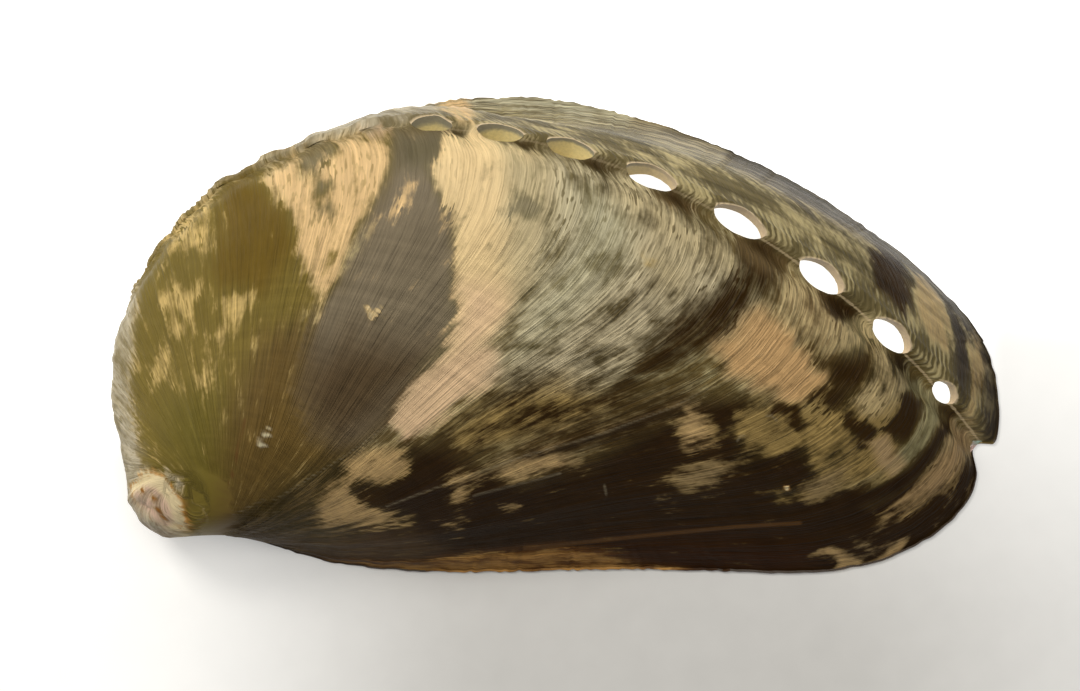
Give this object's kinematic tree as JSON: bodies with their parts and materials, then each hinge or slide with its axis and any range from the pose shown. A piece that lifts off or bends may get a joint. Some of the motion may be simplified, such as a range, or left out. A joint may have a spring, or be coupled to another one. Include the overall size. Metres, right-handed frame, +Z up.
{
  "type": "abalone shell",
  "caption": "Empty ear-shaped abalone shell: a long thin dome with a curved row of open holes, a small worn spire at one end and an open pearly hollow below.",
  "frame": {"origin": "centre of the shell's bounding box, at the height of the flat rim that it rests on", "axes": "+X towards the growing edge, away from the spire; +Y towards the row of holes; +Z up, out of the dome's back"},
  "size_m": [0.0904, 0.0488, 0.0205],
  "materials": {
    "shell": "natural shell, olive brown with cream marks and a soft gloss, pearly inside"
  },
  "bodies": {
    "root": {"shell": "shell"}
  },
  "joints": []
}
